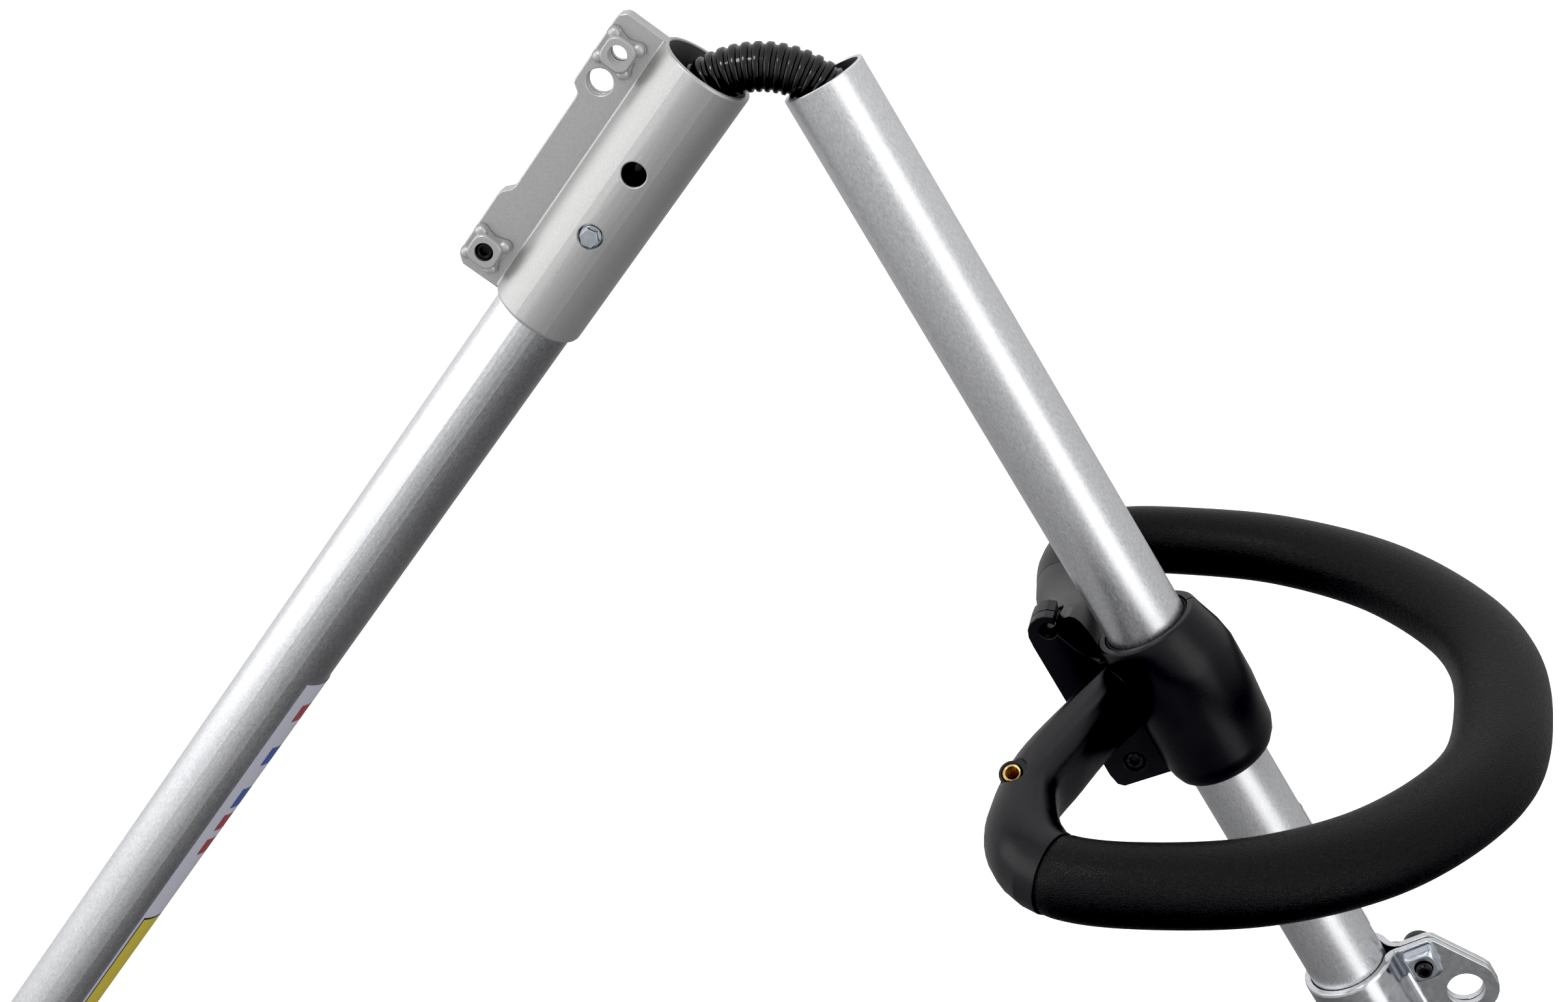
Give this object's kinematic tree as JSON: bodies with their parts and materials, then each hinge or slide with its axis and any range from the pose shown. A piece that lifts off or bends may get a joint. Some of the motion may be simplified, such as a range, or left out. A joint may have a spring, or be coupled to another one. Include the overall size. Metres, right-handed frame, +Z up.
{
  "type": "take-down trimmer shaft",
  "caption": "Two straight tubes folded side by side in a V, joined by a ribbed conduit, with a split clamp sleeve, a closed loop handle and a strap clamp with a hook eye.",
  "frame": {"origin": "centre of the far end of the lower tube, where the tool's head would hold it", "axes": "+X from the lower tube's end to the upper tube's end, +Y away from the side that carries the nuts and the locating screw, +Z up towards the coupler"},
  "size_m": [0.7241, 0.2443, 0.5321],
  "materials": {
    "tube_aluminium": "brushed lengthwise, clear anodised",
    "cast_silver": "silver paint with a fine grain over a casting",
    "zinc": "zinc plated",
    "black_oxide": "black oxide, slightly glossy",
    "conduit_black": "gloss black ribbed plastic",
    "label_grey": "satin grey film with a blank yellow block",
    "label_silver": "satin silver film with a thin dark border",
    "handle_plastic": "moulded, fine satin texture",
    "grip_rubber": "leather grain",
    "liner_rubber": "matte",
    "brass": "turned, bright",
    "harness_steel": "bright zinc, polished edges"
  },
  "bodies": {
    "lower_shaft": {"lower_tube": "tube_aluminium", "coupler_sleeve": "cast_silver", "upper_nut": "cast_silver", "lower_nut": "cast_silver", "clamp_screw": "black_oxide", "locating_screw": "zinc", "lower_label": "label_grey"},
    "conduit_link": {"conduit": "conduit_black"},
    "upper_shaft": {"upper_tube": "tube_aluminium", "upper_label": "label_silver"},
    "handle_slider": {"handle_liner": "liner_rubber"},
    "handle": {"handle_body": "handle_plastic", "handle_rear_clamp": "handle_plastic", "handle_grip": "grip_rubber", "brass_insert": "brass", "rear_insert": "black_oxide", "flange_screw": "black_oxide", "side_screw": "black_oxide"},
    "harness_clamp": {"harness_strap": "harness_steel", "harness_nut": "zinc", "harness_screw": "black_oxide"}
  },
  "joints": [
    {"name": "fold_lower", "type": "hinge", "parent": "lower_shaft", "child": "conduit_link", "pos_m": [0.33265, 0, 0.50833], "axis": [0, -1, 0], "range_deg": [-10, 56.8], "deforming": ["conduit"]},
    {"name": "fold_upper", "type": "hinge", "parent": "conduit_link", "child": "upper_shaft", "pos_m": [0.36867, 0, 0.50767], "axis": [0, -1, 0], "range_deg": [-10, 56.8]},
    {"name": "handle_slide", "type": "slide", "parent": "upper_shaft", "child": "handle_slider", "axis": [0.5476, 0, -0.8368], "range_m": [-0.06, 0.03]},
    {"name": "handle_turn", "type": "hinge", "parent": "handle_slider", "child": "handle", "pos_m": [0.50332, 0, 0.3019], "axis": [-0.5476, 0, 0.8368], "range_deg": [-40, 40]},
    {"name": "harness_slide", "type": "slide", "parent": "upper_shaft", "child": "harness_clamp", "axis": [0.5476, 0, -0.8368], "range_m": [-0.01, 0.12]}
  ]
}
